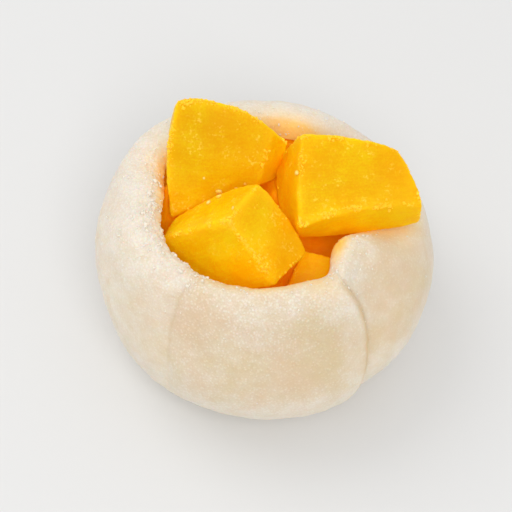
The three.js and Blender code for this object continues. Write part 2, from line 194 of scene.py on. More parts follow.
TORN_EDGE = dict(size=0.7, depth=0.1, reach=0.8, seed=14)  # ragged cut edges
EDGE_HIGHLIGHT_FACING = (-0.1, 0.5)  # how far up flesh faces where the painted highlight on its edges starts, and where it is full
LOOSENED_FACING = (0.3, 0.65)  # and where loosened pulp starts to lie on it, and fully does

# ---- Bed of soft flesh under the chunks, as in the solids ----
BED = dict(
    level=6,  # usual height of its top above the ball's widest level
    highest=17.5,  # and the greatest
    wall_top=0.95,  # share of the hollow's wall that it may climb
    gap=0.05,  # between it and the dough
)
BED_LUMPS = dict(height=0.5, x_pace=0.75, x_start=0.6, y_pace=0.68, y_start=-0.4)  # low waves over its top
BED_MESH = dict(bowl_rows=8, wall_rows=8, rings=60, columns=260)
BED_SETTLING = 1 / 3  # share of the way in from the wall where the top reaches its own level
BED_MOUNDS = [  # rises that fill gaps
    dict(at=(2.6, 12), rise=4, spread=4),  # between the left and right chunks
    dict(at=(1.8, 6.5), rise=6, spread=3),  # and between the front and right chunks
    dict(at=(5.2, 20), rise=10, spread=4),  # behind them, up the back of the hollow
    dict(at=(-17, 7), rise=9, spread=5),  # beside the left chunk
]
BED_RELIEF = [dict(size=2.2, depth=0.2, seed=21), dict(size=0.7, depth=0.07, seed=22)]
BED_SINK = 0.15  # how far under a chunk the bed is pressed
CHUNK_SEARCH = 8  # how far off a chunk's surface is looked for

# ---- Loose starch, pulp grains and juice ----
CRUMBS = dict(
    count=700, small=0.05, large=0.24, kinds=5, seed=31,
    flat=(0.45, 0.85),  # height of a lump over its width
    lowest=6, inner=MOUTH_RADIUS - 3,  # none lie lower or further in
    facing=0.35,  # how steep a side may hang over and still hold some
    plain=0.12,  # how thickly they lie below the rim, over the rim's
)
RIM_CLOTS = dict(
    count=150, small=0.12, large=0.4, seed=32,
    turn=-72, spread=38,  # the stretch of the rim where they cling
    start=0.97, facing=0.1,  # how far up the outside, and how far up the lip has to face
    clump=1.6, clumped=(0.1, 0.6),  # size of a clump, and the noise that is outside and inside one
)
PULP_GRAINS = dict(
    count=800, small=0.09, large=0.32, kinds=4, seed=33,
    flat=(0.4, 0.8),
    facing=0.2,  # how steep a side may hang over and still hold some
    back=(-0.1, 0.4),  # they thin out as a side turns to the back
    clump=2.5, clumped=(-0.3, 0.5),
)
LUMP = dict(
    level=2,  # how finely it is meshed
    knobs=0.4, knob_size=0.8,  # height and width of its knobs, over its radius
    variety=50,  # how far apart the noise of two kinds may lie
    length=(0.8, 1.35), breadth=(0.7, 1.0),  # over its size
    stand=0.4,  # how far its middle stands off the surface, over its height
)
RARENESS = 2.5  # the higher, the fewer of the large ones
BEADS = [  # juice beads on the fruit, seen from above: x, y and radius
    (-8.0, 5.5, 0.52), (-7.9, 2.9, 0.44), (-9.7, 2.2, 0.46), (5.7, 6.4, 0.46),
    (-3.4, 6.8, 0.28), (-5.0, 6.2, 0.26), (-10.6, 6.9, 0.28), (-5.4, -1.6, 0.3),
]
BEAD_FLATNESS = 0.6  # height over width
BEAD_LEVEL = 3  # how finely a bead is meshed
BEAD_SEED = 41
DROP_HEIGHT = 80  # from where the beads are dropped on to the fruit

# ---- Colour that changes over the dough ----
RIM_START = 0.55  # share of the way up where the rim's thicker starch begins
# Juice soaked into the rim, partly painted orange bounce light from the fruit, comes up between a start and a
# place where it is full, on the way in over the rim: -1 is the ball's widest level, 0 the crest of the rim
# and 1 the narrowest part of the opening.
LIP_STAINS_AND_BOUNCE = [
    dict(turn=162, spread=30, start=-0.28, full=0.3, strength=0.8),
    dict(turn=-108, spread=24, start=0.25, full=0.85, strength=0.9),
    dict(turn=85, spread=16, start=-0.1, full=0.3, strength=0.85),
    dict(turn=2, spread=30, start=-0.15, full=0.6, strength=0.9),
    dict(turn=28, spread=9, start=-0.4, full=0.3, strength=0.5),
    dict(turn=57, spread=12, start=-0.1, full=0.45, strength=1),
]
FRUIT_STAIN_AND_GLOW = dict(strength=0.8, reach=0.9, light_reach=1.6, search=12)  # juice soaked into dough that lies by the fruit, and the painted glow that it gives there
GLOWING_DOUGH = [  # painted glow on dough where the fruit behind it would light it up: place, radius and how strongly
    ((5, 17.6, 30), 3, 1),
    ((13, -5.5, 33), 2.5, 0.4),
    ((-18, 10.5, 29), 4, 1),
]
LOBE_WARMTH = 0.3  # how thinly dusted the front lobe is
WARM_HEIGHTS = (15, 24)  # the thinly dusted patches fade out downwards between these heights
WARM_PLACES = [  # thinly dusted patches: place, radius and how bare
    ((1, -27, 19), 13, 0.5),
    ((-11.5, -18.8, 32.6), 5.2, 0.9),
    ((-20.5, -12.8, 29.5), 5, 0.5),
    ((-18, -18.5, 26.5), 4, 0.3),
    ((9, -23, 28), 6, 0.8),
    ((21, -4, 28), 8, 0.9),
    ((17.5, -10, 29), 5, 0.5),
    ((21, -17, 23), 6, 0.4),
    ((25, -10, 20), 12, 0.55),
]


# ======================= Numbers and meshes =======================

def smoothstep(value, low, high):
    share = np.clip((value - low) / (high - low), 0, 1)
    return share * share * (3 - 2 * share)


def mix(a, b, share):
    return a + (b - a) * share


def turn_between(turn, start):
    """The shortest signed difference between two turns, in degrees."""
    return (turn - start + 180) % 360 - 180


def bump(b, turn):
    return b["out"] * np.exp(-np.abs(turn_between(turn, b["turn"]) / b["spread"]) ** b.get("power", 2))


def nearness(turn, stretch):
    """1 at the middle of a stretch of the rim, fading to 0 over its spread."""
    return np.exp(-(turn_between(turn, stretch["turn"]) / stretch["spread"]) ** 2)


NOISE_SHIFT = (7.13, -3.71, 5.39)  # how far each seed moves the noise on
NOISE_GAIN = 1.6  # what brings it to about -1 to 1


def noise_at(points, size, seed):
    """Soft noise of about -1 to 1 at each point, with features about "size" millimetres across."""
    shift = np.array(NOISE_SHIFT) * seed
    return np.array([noise.noise(p) for p in (points / size + shift).tolist()]) * NOISE_GAIN


def relief_at(points, layers):
    return sum(layer["depth"] * noise_at(points, layer["size"], layer["seed"]) for layer in layers)


def mesh_object(name, points, faces):
    """A smooth-shaded mesh from points in millimetres."""
    mesh = bpy.data.meshes.new(name)
    mesh.from_pydata((points * MM).tolist(), [], faces)
    mesh.validate()
    mesh.shade_smooth()
    piece = bpy.data.objects.new(name, mesh)
    bpy.context.scene.collection.objects.link(piece)
    return piece


def points_of(piece):
    """The vertices of a piece, in millimetres."""
    flat = np.empty(len(piece.data.vertices) * 3)
    piece.data.vertices.foreach_get("co", flat)
    return flat.reshape(-1, 3) / MM


def normals_of(piece):
    flat = np.empty(len(piece.data.vertices) * 3)
    piece.data.vertex_normals.foreach_get("vector", flat)
    return flat.reshape(-1, 3)


def set_points(piece, points):
    piece.data.vertices.foreach_set("co", (points * MM).ravel())
    piece.data.update()


def paint(piece, name, values):
    """Keeps one number for each vertex, which the material reads by name."""
    attributes = piece.data.attributes
    layer = attributes.get(name) or attributes.new(name, "FLOAT", "POINT")
    layer.data.foreach_set("value", np.asarray(values, dtype=np.float32))


def attribute_of(piece, name):
    values = np.empty(len(piece.data.vertices), dtype=np.float32)
    piece.data.attributes[name].data.foreach_get("value", values)
    return values


def paint_places(piece, name, places):
    layer = piece.data.attributes.new(name, "FLOAT_VECTOR", "POINT")
    layer.data.foreach_set("vector", np.asarray(places, dtype=np.float32).ravel())


def surface_tree(pieces):
    """One search tree, in millimetres, over the surfaces of several pieces."""
    points, faces, start = [], [], 0
    for piece in pieces:
        points.append(points_of(piece))
        faces += [[start + v for v in polygon.vertices] for polygon in piece.data.polygons]
        start += len(piece.data.vertices)
    return BVHTree.FromPolygons(np.concatenate(points).tolist(), faces)


def distances_to(tree, points, most):
    """How far each point is from the tree's surfaces, in millimetres, up to a limit."""
    found = [tree.find_nearest(point, most)[3] for point in points.tolist()]
    return np.array([most if distance is None else distance for distance in found])


def strongest_near(points, places):
    """At each point, the strongest of several soft round places."""
    shares = [strength * np.exp(-(np.linalg.norm(points - place, axis=1) / radius) ** 2)
              for place, radius, strength in places]
    return np.max(shares, axis=0)


def finish_piece(piece, material, slot, *nodes):
    """Gives a piece its material, and puts it in the place of the nodes it stands for; its slot is not used.
    """
    piece.data.materials.append(material)
    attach(piece, "root")
    if nodes:
        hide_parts(*nodes)
    return piece


# ======================= The dough =======================

def quarter(count):
    """Even steps over a quarter turn, without its start."""
    return np.arange(1, count + 1) / count * (math.pi / 2)


def rows_of(**columns):
    """Profile rows as arrays of one length; a plain number holds for every row."""
    length = max(np.size(v) for v in columns.values())
    return {name: np.broadcast_to(np.asarray(v, dtype=float), length) for name, v in columns.items()}


def outside_profile():
    """Rows from the middle of the foot, up the belly and the shoulder, to the crest of the rim."""
    foot_share = np.arange(1, DOUGH_ROWS["foot"] + 1) / DOUGH_ROWS["foot"]
    belly, shoulder = quarter(DOUGH_ROWS["belly"]), quarter(DOUGH_ROWS["shoulder"])
    belly_width, shoulder_width = BALL_RADIUS - FOOT_RADIUS, BALL_RADIUS - CREST_RADIUS
    return [
        rows_of(r=FOOT_RADIUS * foot_share, z=0, nr=0, nz=-1, up=0, relief=0, mouth=0, inside=0, inward=-1),
        rows_of(r=FOOT_RADIUS + belly_width * np.sin(belly), z=EQUATOR_HEIGHT * (1 - np.cos(belly)),
                nr=np.sin(belly) / belly_width, nz=-np.cos(belly) / EQUATOR_HEIGHT,
                up=BELLY_SHARE * belly / (math.pi / 2), relief=smoothstep(belly, 0, RELIEF_START),
                mouth=0, inside=0, inward=-1),
        rows_of(r=CREST_RADIUS + shoulder_width * np.cos(shoulder),
                z=EQUATOR_HEIGHT + SHOULDER_RISE * np.sin(shoulder),
                nr=np.cos(shoulder) / shoulder_width, nz=np.sin(shoulder) / SHOULDER_RISE,
                up=BELLY_SHARE + (1 - BELLY_SHARE) * shoulder / (math.pi / 2), relief=1,
                mouth=smoothstep(np.sin(shoulder), 0, 1), inside=0, inward=shoulder / (math.pi / 2) - 1),
    ]


def inside_profile():
    """Rows from the crest of the rim, over the lip and down the hollow's wall, to the middle of its floor."""
    lip, wall, bowl = quarter(DOUGH_ROWS["lip"]), quarter(DOUGH_ROWS["hollow"]), quarter(DOUGH_ROWS["bowl"])
    floor_share = 1 - np.arange(1, DOUGH_ROWS["floor"]) / DOUGH_ROWS["floor"]
    return [
        rows_of(r=CREST_RADIUS - LIP_WIDTH * np.sin(lip), z=RIM_HEIGHT - LIP_DEPTH * (1 - np.cos(lip)),
                nr=-np.sin(lip) / LIP_WIDTH, nz=np.cos(lip) / LIP_DEPTH, up=1, relief=np.cos(lip) ** 2,
                mouth=1, inside=1, inward=lip / (math.pi / 2)),
        rows_of(r=MOUTH_RADIUS + (HOLLOW_RADIUS - MOUTH_RADIUS) * np.sin(wall),
                z=EQUATOR_HEIGHT + WALL_REACH * np.cos(wall),
                nr=-1, nz=0, up=1, relief=0, mouth=np.cos(wall), inside=1, inward=1),
        rows_of(r=HOLLOW_FOOT + (HOLLOW_RADIUS - HOLLOW_FOOT) * np.cos(bowl),
                z=EQUATOR_HEIGHT - (EQUATOR_HEIGHT - FLOOR) * np.sin(bowl),
                nr=-1, nz=0, up=0, relief=0, mouth=0, inside=1, inward=1),
        rows_of(r=HOLLOW_FOOT * floor_share, z=FLOOR,
                nr=0, nz=1, up=0, relief=0, mouth=0, inside=1, inward=1),
    ]


def dough_profile():
    """The whole profile, each of its values as a column with one entry for each row."""
    parts = [*outside_profile(), *inside_profile()]
    return {name: np.concatenate([part[name] for part in parts])[:, None] for name in parts[0]}


def lap_section(across, strength):
    """The lapped fold in section: where the surface lies across the fold, and how deep it has dropped."""
    edge, overhang = LAP["edge"], LAP["overhang"]
    wrap = math.radians(LAP["wrap"])
    end = -edge + (edge + overhang) * math.sin(wrap)
    roll = wrap * np.clip((across + edge) / (2 * edge), 0, 1)
    rolled = -edge + (edge + overhang) * np.sin(roll)
    beyond = np.maximum(across - edge, 0)
    moved = np.where(across < edge, rolled - across, (end - edge) * np.exp(-beyond / edge))
    drop = (1 - np.cos(roll)) / (1 - math.cos(wrap)) * np.exp(-beyond / LAP["recovery"])
    lapped = across > -edge
    return across + np.where(lapped, moved * strength, 0), strength * LAP["step"] * np.where(lapped, drop, 0)


def crease_across(crease, rows, turn):
    """How far each point lies to the right of a crease, in millimetres."""
    line = mix(crease["foot_turn"], crease["top_turn"], rows["up"])
    return np.radians(turn_between(turn, line)) * rows["r"]


def crease_extent(crease, rows):
    """1 between a crease's ends, fading to 0 beyond them."""
    begins = smoothstep(rows["up"], crease["low"] - CREASE_FADE, crease["low"] + CREASE_FADE)
    ends = 1 - smoothstep(rows["up"], crease["high"] - CREASE_FADE, crease["high"] + CREASE_FADE)
    return begins * ends


def crease_depth(rows, turn):
    total = 0
    for crease in CREASES:
        across = crease_across(crease, rows, turn)
        rounded = np.exp(-(across / crease["width"]) ** 2)
        pinched = np.exp(-np.abs(across) / (2 * crease["width"]))
        total = total + crease["depth"] * mix(rounded, pinched, CREASE_PINCH) * crease_extent(crease, rows)
    return total


def hand_waves(turn, height):
    return sum(w["out"] * np.sin(w["lobes"] * np.radians(turn) + w["drift"] * height + w["start"])
               for w in HAND_WAVES)


def ring_points(rows, turn, relief):
    """Points of the rows at their turns, with the uneven mouth and rim, moved towards the mouth's middle."""
    length = np.hypot(rows["nr"], rows["nz"])
    widening = sum(bump(b, turn) for b in MOUTH_BUMPS)
    r = rows["r"] + relief * rows["nr"] / length + widening * rows["mouth"] ** 3
    rise = np.maximum(0, rows["z"] - EQUATOR_HEIGHT) / SHOULDER_RISE
    lift = sum(bump(b, turn) * rise ** np.where(rows["inside"] > 0, 1, b["fade"]) for b in RIM_BUMPS)
    depth = mix(DEPTH_SHARE, MOUTH_DEPTH_SHARE, rows["mouth"])
    t = np.radians(turn)
    x = r * np.sin(t) + MOUTH_SHIFT[0] * rows["mouth"]
    y = -r * np.cos(t) * depth + MOUTH_SHIFT[1] * rows["mouth"]
    z = np.maximum(0, rows["z"] + relief * rows["nz"] / length + lift)
    return np.stack(np.broadcast_arrays(x, y, z), axis=-1)


def lathe_faces(rows, columns):
    """Quads between the rows, and fans to a first and a last point that close the ends."""
    column = np.arange(columns)
    following = (column + 1) % columns
    faces = []
    for row in range(rows - 1):
        low, high = 1 + row * columns, 1 + (row + 1) * columns
        faces += np.stack([low + column, low + following, high + following, high + column], axis=1).tolist()
    last = 1 + rows * columns
    top = 1 + (rows - 1) * columns
    faces += np.stack([np.zeros_like(column), 1 + following, 1 + column], axis=1).tolist()
    faces += np.stack([np.full_like(column, last), top + column, top + following], axis=1).tolist()
    return faces


def lathe_points(rings, first, last):
    return np.concatenate([[first], rings.reshape(-1, 3), [last]])


def with_ends(values, shape):
    """Ring values as one number for each vertex, with the first and last point given 0."""
    return np.concatenate([[0], np.broadcast_to(values, shape).ravel(), [0]])


def folded_turns(rows, column_turn, strength):
    """The turn of each point, how far it lay and lies across the lapped fold, and how deep it has dropped."""
    lean = LAP["lean"] * smoothstep(rows["up"], LAP["lean_start"], LAP["lean_end"])
    hook = LAP["hook"] * smoothstep(rows["up"], LAP["lean_end"], 1)
    per_millimetre = np.degrees(1 / np.maximum(rows["r"], LAP["least_radius"]))
    from_fold = column_turn / per_millimetre
    across, drop = lap_section(from_fold, strength)
    turn = LAP["foot_turn"] + lean - hook + across * per_millimetre
    return turn, from_fold, across, drop


def painted_seam_shade(rows, turn, across, strength):
    """How dark the painted shade is in the line under the fold and in the one in the front crease."""
    off_seam = np.abs(across - LAP["overhang"] / 2) - SEAM_SHADE_LINE["flat"]
    seam_shade = strength * np.exp(-(np.maximum(off_seam, 0) / SEAM_SHADE_LINE["fade"]) ** 2)
    off_crease = crease_across(CREASES[0], rows, turn)
    pressed = FRONT_CREASE_SHADE["strength"] * np.exp(-(off_crease / FRONT_CREASE_SHADE["width"]) ** 2)
    return np.maximum(seam_shade, pressed * crease_extent(FRONT_CREASE_SHADE, rows))


def front_lobe(rows, turn, from_fold):
    """1 on the broad lobe between the front crease and the fold, fading to 0 round it."""
    right_of_crease = smoothstep(crease_across(CREASES[0], rows, turn), *LOBE["from_crease"])
    return right_of_crease * smoothstep(-from_fold, *LOBE["from_fold"]) * smoothstep(rows["up"], *LOBE["up"])


def dough_rings():
    """The rings of the dough, with their turns, how dark the painted shade along their fold lines is, and
    where the front lobe lies.
    """
    rows = dough_profile()
    share = (np.arange(DOUGH_COLUMNS) / DOUGH_COLUMNS)[None, :]
    w = np.where(share < 0.5, share, share - 1)
    column_turn = 360 * w * (1 - LAP_CROWDING * np.exp(-(w / LAP_REACH) ** 2))
    strength = rows["relief"] * (1 - LAP["rim_loss"] * smoothstep(rows["up"], LAP["rim_fade"], 1))
    turn, from_fold, across, drop = folded_turns(rows, column_turn, strength)
    relief = (hand_waves(turn, rows["z"]) - crease_depth(rows, turn)) * rows["relief"] - drop
    seam_shade = painted_seam_shade(rows, turn, across, strength)
    return rows, turn, ring_points(rows, turn, relief), seam_shade, front_lobe(rows, turn, from_fold)


def torn_rim(points, rows, turn):
    """Small ragged lumps along the mouth's edge, strongest where the dough was torn."""
    here = smoothstep(rows["up"], TORN_RIM["start"], 1) * np.where(rows["inside"] > 0, rows["mouth"], 1)
    torn = np.max([nearness(turn, stretch) for stretch in TORN_STRETCHES], axis=0)
    weight = with_ends(here * mix(TORN_RIM["plain"], 1, torn), turn.shape)
    lumps = np.maximum(noise_at(points, TORN_RIM["size"], TORN_RIM["seed"]), TORN_RIM["deepest"])
    return TORN_RIM["depth"] * lumps * weight


def make_dough():
    """The ball with its fine relief, and the numbers that its material is painted by."""
    rows, turn, rings, seam_shade, lobe = dough_rings()
    points = lathe_points(rings, (0, 0, 0), (0, 0, FLOOR))
    piece = mesh_object("rice_dough", points, lathe_faces(*rings.shape[:2]))
    weight = with_ends(smoothstep(rows["z"], *FOOT_FADE), turn.shape)
    out = relief_at(points, SKIN_RELIEF) * weight + torn_rim(points, rows, turn)
    shaped = points + normals_of(piece) * out[:, None]
    shaped[:, 2] = np.maximum(shaped[:, 2], 0)
    set_points(piece, shaped)
    paint(piece, "seam_shade", with_ends(seam_shade, turn.shape))
    paint(piece, "lobe", with_ends(lobe, turn.shape))
    paint(piece, "rim", with_ends(smoothstep(rows["up"], RIM_START, 1), turn.shape))
    paint(piece, "turn", with_ends(turn, turn.shape))
    paint(piece, "inward", with_ends(rows["inward"], turn.shape))
    return piece


def paint_stain_bounce_and_glow(dough, fruit):
    """Juice soaked into the dough along its lip, partly painted orange bounce light, and where it touches the
    fruit; and a painted glow on dough close by the fruit.
    """
    turn, inward = attribute_of(dough, "turn"), attribute_of(dough, "inward")
    lip = np.zeros(len(turn))
    for stain_and_bounce in LIP_STAINS_AND_BOUNCE:
        soaked = smoothstep(inward, stain_and_bounce["start"], stain_and_bounce["full"])
        lip = np.maximum(lip, stain_and_bounce["strength"] * nearness(turn, stain_and_bounce) * soaked)
    points = points_of(dough)
    near_fruit = distances_to(fruit, points, FRUIT_STAIN_AND_GLOW["search"])
    touched = FRUIT_STAIN_AND_GLOW["strength"] * np.exp(-near_fruit / FRUIT_STAIN_AND_GLOW["reach"])
    paint(dough, "stain_and_bounce", np.maximum(lip, touched))
    # painted glow, an emission on dough close by the fruit and at the listed places
    light = np.exp(-near_fruit / FRUIT_STAIN_AND_GLOW["light_reach"])
    paint(dough, "fruit_light", np.maximum(light, strongest_near(points, GLOWING_DOUGH)))


def paint_warmth(dough):
    """Where so little starch lies that the warmer dough shows through."""
    points = points_of(dough)
    warmth = LOBE_WARMTH * attribute_of(dough, "lobe")
    for place, radius, bare in WARM_PLACES:
        warmth += bare * np.exp(-(np.linalg.norm(points - place, axis=1) / radius) ** 2)
    paint(dough, "warm", np.clip(warmth, 0, 1) * smoothstep(points[:, 2], *WARM_HEIGHTS))


# ======================= The mango =======================

def stations(half, edge, step):
    """Mesh lines across a chunk: narrow cells on the rounded edges, even ones between."""
    inner = max(2, round(2 * (half - edge) / step))
    corner = half - edge * np.arange(EDGE_CELLS) / EDGE_CELLS
    middle = np.linspace(half - edge, edge - half, inner + 1)
    return np.concatenate([corner, middle, -corner[::-1]])[::-1]


def box_lattice(lines):
    """The points of a box's surface on the given mesh lines, each once, and its faces."""
    counts = [len(line) - 1 for line in lines]
    ids, points, faces = {}, [], []

    def vertex(key):
        if key not in ids:
            ids[key] = len(points)
            points.append([lines[axis][key[axis]] for axis in range(3)])
        return ids[key]

    for axis in range(3):
        b, c = (axis + 1) % 3, (axis + 2) % 3
        for level in (0, counts[axis]):
            for i in range(counts[b]):
                for j in range(counts[c]):
                    quad = []
                    for di, dj in ((0, 0), (1, 0), (1, 1), (0, 1)):
                        key = [0, 0, 0]
                        key[axis], key[b], key[c] = level, i + di, j + dj
                        quad.append(vertex(tuple(key)))
                    faces.append(quad if level else quad[::-1])
    return np.array(points), faces


def chunk_points(chunk, grid):
    """The grid of a plain box bent to the chunk: rounded edges, sloping faces and bowed cuts."""
    half = np.array(chunk["size"]) / 2
    edge = chunk["edge"]
    core = np.clip(grid, edge - half, half - edge)
    out = grid - core
    rounded = core + edge * out / np.linalg.norm(out, axis=1)[:, None]
    unit = rounded / half
    shaped = rounded.copy()
    for axis, sides in enumerate((("left", "right"), ("front", "back"), ("bottom", "top"))):
        s, t = (unit[:, other] for other in range(3) if other != axis)
        shifts = []
        for side, sign in zip(sides, (-1, 1)):
            slope_s, slope_t, twist = (*chunk["slope"][side], 0)[:3]
            bow_s, bow_t, flare = (*chunk["bow"].get(side, (0, 0)), 0)[:3]
            bulge = (bow_s + flare * t) * (1 - s * s) + bow_t * (1 - t * t)
            shifts.append(slope_s * s + slope_t * t + twist * s * t + sign * bulge)
        shaped[:, axis] += mix(shifts[0], shifts[1], (1 + unit[:, axis]) / 2)
    return rounded, shaped


def turned(points, degrees):
    """Points turned about X, Y and Z, each about the axes that the turn before it left."""
    matrix = Matrix.Identity(3)
    for axis, angle in zip("XYZ", degrees):
        matrix = matrix @ Matrix.Rotation(math.radians(angle), 3, axis)
    return points @ np.array(matrix).T


def make_chunk(name, chunk):
    """One knife-cut chunk with ragged edges, and the numbers that its material is painted by."""
    half = np.array(chunk["size"]) / 2
    grid, faces = box_lattice([stations(h, chunk["edge"], CHUNK_STEP) for h in half])
    rounded, shaped = chunk_points(chunk, grid)
    points = turned(shaped, chunk["turn"]) + np.array(chunk["at"])
    piece = mesh_object(name + "_flesh", points, faces)
    to_faces = np.sort(half - np.abs(rounded), axis=1)
    near_edge = np.exp(-np.maximum(to_faces[:, 1], 0) / TORN_EDGE["reach"])
    out = relief_at(points, FLESH_RELIEF)
    out += TORN_EDGE["depth"] * noise_at(points, TORN_EDGE["size"], TORN_EDGE["seed"]) * near_edge
    set_points(piece, points + normals_of(piece) * out[:, None])
    facing = normals_of(piece)[:, 2]
    # paler cut edges, with a painted highlight only where they face up
    paint(piece, "edge", near_edge * smoothstep(facing, *EDGE_HIGHLIGHT_FACING))
    paint(piece, "loosened", smoothstep(facing, *LOOSENED_FACING))
    paint_places(piece, "grain", shaped)
    return piece


def paint_gap_shade_and_glow(piece, others):
    """How far each point of a piece lies down in a gap, or close against the pieces round it, as painted
    orange shade; with the painted glow of the lit places, and the painted edge highlight taken out in that
    shade.
    """
    points = points_of(piece)
    distance = distances_to(surface_tree(others), points, GAP_SHADING["reach"])
    gap_shade = GAP_SHADING["strength"] * (1 - smoothstep(distance, 0, GAP_SHADING["reach"]))
    gap_shade = np.maximum(gap_shade, strongest_near(points, SHADED_GAPS))
    paint(piece, "gap_shade", gap_shade)
    # painted glow at the lit places
    paint(piece, "lit", strongest_near(points, LIT_PLACES))
    # the painted edge highlight fades where the painted shade lies
    paint(piece, "edge", attribute_of(piece, "edge") * (1 - gap_shade) ** 2)


# ======================= The bed of soft flesh =======================

def bed_level(x, y):
    """Height of the bed's top above the equator, as in the solids."""
    lumps = BED_LUMPS
    across = np.sin(lumps["x_pace"] * x + lumps["x_start"])
    level = BED["level"] + lumps["height"] * across * np.cos(lumps["y_pace"] * y + lumps["y_start"])
    for mound in BED_MOUNDS:
        off = np.hypot(x - mound["at"][0], y - mound["at"][1]) / mound["spread"]
        level = level + mound["rise"] * np.exp(-off ** 2)
    return np.minimum(level, BED["highest"])


def bed_ring(turn, r, z, mouth):
    """A ring of the bed, shaped by the hollow's uneven mouth."""
    row = dict(r=np.asarray(r), z=np.asarray(z), mouth=np.asarray(mouth), nr=0, nz=1, inside=1)
    return ring_points(row, turn, 0)


def bed_wall(turn, climb, level):
    """Just inside the hollow's wall, at a share of the climb to the bed's level there."""
    angle = np.arcsin(np.minimum(level / WALL_REACH, BED["wall_top"])) * climb
    return bed_ring(turn, MOUTH_RADIUS - BED["gap"] + (HOLLOW_RADIUS - MOUTH_RADIUS) * np.cos(angle),
                    EQUATOR_HEIGHT + WALL_REACH * np.sin(angle), np.sin(angle))


def bed_sides(turn):
    """Rings from the bed's foot up its outside, which follows the hollow."""
    bowl = quarter(BED_MESH["bowl_rows"])[:, None]
    gap = BED["gap"]
    foot = bed_ring(turn, HOLLOW_FOOT - gap, FLOOR + gap, 0)
    side = bed_ring(turn, HOLLOW_FOOT - gap + (HOLLOW_RADIUS - HOLLOW_FOOT) * np.sin(bowl),
                    EQUATOR_HEIGHT - (EQUATOR_HEIGHT - FLOOR - gap) * np.cos(bowl), 0)
    plain = bed_wall(turn, 1, BED["level"])
    climb = (np.arange(1, BED_MESH["wall_rows"] + 1) / BED_MESH["wall_rows"])[:, None]
    wall = bed_wall(turn, climb, bed_level(plain[..., 0], plain[..., 1]))
    return np.concatenate([foot, side, wall])


def bed_top(edge):
    """Rings from the bed's edge in to its middle, and how far each has settled to the top's own level."""
    middle = np.array(MOUTH_SHIFT) * (BED["level"] / WALL_REACH)
    inward = np.arange(1, BED_MESH["rings"]) / BED_MESH["rings"]
    top = np.repeat(edge[None], len(inward), axis=0)
    for axis in (0, 1):
        top[..., axis] = mix(top[..., axis], middle[axis], inward[:, None])
    settled = smoothstep(inward, 0, BED_SETTLING)
    level = EQUATOR_HEIGHT + bed_level(top[..., 0], top[..., 1])
    top[..., 2] = mix(top[..., 2], level, settled[:, None])
    return top, settled


def pressed_under(points, trees):
    """Points that lie inside a chunk are moved out to just below its surface."""
    moved = []
    for point in points.tolist():
        place = Vector(point)
        for tree in trees:
            near, normal, _, _ = tree.find_nearest(place, CHUNK_SEARCH)
            if near is not None and (place - near).dot(normal) < 0:
                place = near + normal * BED_SINK
        moved.append(place)
    return np.array(moved)


def make_bed(chunks):
    """The soft flesh that fills the hollow, pressed down where the chunks rest in it."""
    sides = bed_sides((360 * np.arange(BED_MESH["columns"]) / BED_MESH["columns"])[None, :])
    top, settled = bed_top(sides[-1])
    rings = np.concatenate([sides, top])
    points = lathe_points(rings, (0, 0, FLOOR + BED["gap"]), rings[-1].mean(axis=0))
    weight = with_ends(np.concatenate([np.zeros(len(sides)), settled])[:, None], rings.shape[:2])
    weight[-1] = 1
    points[:, 2] += relief_at(points, BED_RELIEF) * weight
    points = pressed_under(points, [surface_tree([chunk]) for chunk in chunks])
    piece = mesh_object("mango_pulp_bed", points, lathe_faces(*rings.shape[:2]))
    paint(piece, "edge", np.zeros(len(points)))
    paint(piece, "loosened", np.zeros(len(points)))
    paint_places(piece, "grain", points)
    return piece


# ======================= Loose starch, pulp grains and juice =======================

def ball_shape(level):
    """The points and triangles of a round ball of unit radius."""
    bpy.ops.mesh.primitive_ico_sphere_add(subdivisions=level, radius=1)
    source = bpy.context.object
    points = np.array([v.co for v in source.data.vertices])
    faces = np.array([list(p.vertices) for p in source.data.polygons])
    mesh = source.data
    bpy.data.objects.remove(source)
    bpy.data.meshes.remove(mesh)
    return points, faces


def lump_shapes(rng, kinds):
    """A few uneven round lumps of about unit radius, as points and triangles."""
    points, faces = ball_shape(LUMP["level"])
    knobs = [1 + LUMP["knobs"] * noise_at(points, LUMP["knob_size"], rng.uniform(0, LUMP["variety"]))
             for _ in range(kinds)]
    return [(points * knob[:, None], faces) for knob in knobs]


def scattered(name, shapes, places, normals, sizes, flats, rng):
    """One mesh of many lumps, each turned at random, flattened along its normal and sunk a little."""
    points, faces, start = [], [], 0
    for place, normal, size, flat in zip(places, normals, sizes, flats):
        shape, triangles = shapes[rng.integers(len(shapes))]
        spin = Matrix.Rotation(rng.uniform(0, math.tau), 3, "Z")
        stretch = Matrix.Diagonal((rng.uniform(*LUMP["length"]), rng.uniform(*LUMP["breadth"]), flat))
        upright = Vector(normal).to_track_quat("Z", "Y").to_matrix()
        matrix = np.array(upright @ spin @ stretch) * size
        points.append(shape @ matrix.T + place + np.asarray(normal) * size * flat * LUMP["stand"])
        faces.append(triangles + start)
        start += len(shape)
    return mesh_object(name, np.concatenate(points), np.concatenate(faces).tolist())


def sizes_of(rng, count, loose):
    """Mostly small sizes with a few large ones."""
    return loose["small"] + (loose["large"] - loose["small"]) * rng.random(count) ** RARENESS


def clumped_at(points, loose):
    """1 where small things lie together in clumps, 0 between the clumps."""
    return smoothstep(noise_at(points, loose["clump"], loose["seed"]), *loose["clumped"])


def picked_by(rng, chance, loose):
    """Vertices picked by their chance, and a size for each."""
    picked = rng.choice(len(chance), loose["count"], replace=False, p=chance / chance.sum())
    return picked, sizes_of(rng, loose["count"], loose)


def crumb_chance(points, normals, rim):
    """Starch lies on the outside of the dough that faces up, and thicker near the rim."""
    outside = (points[:, 2] > CRUMBS["lowest"]) & (np.hypot(points[:, 0], points[:, 1]) > CRUMBS["inner"])
    facing = np.clip(normals[:, 2] + CRUMBS["facing"], 0, 1)
    return outside * facing * (CRUMBS["plain"] + rim ** 2)


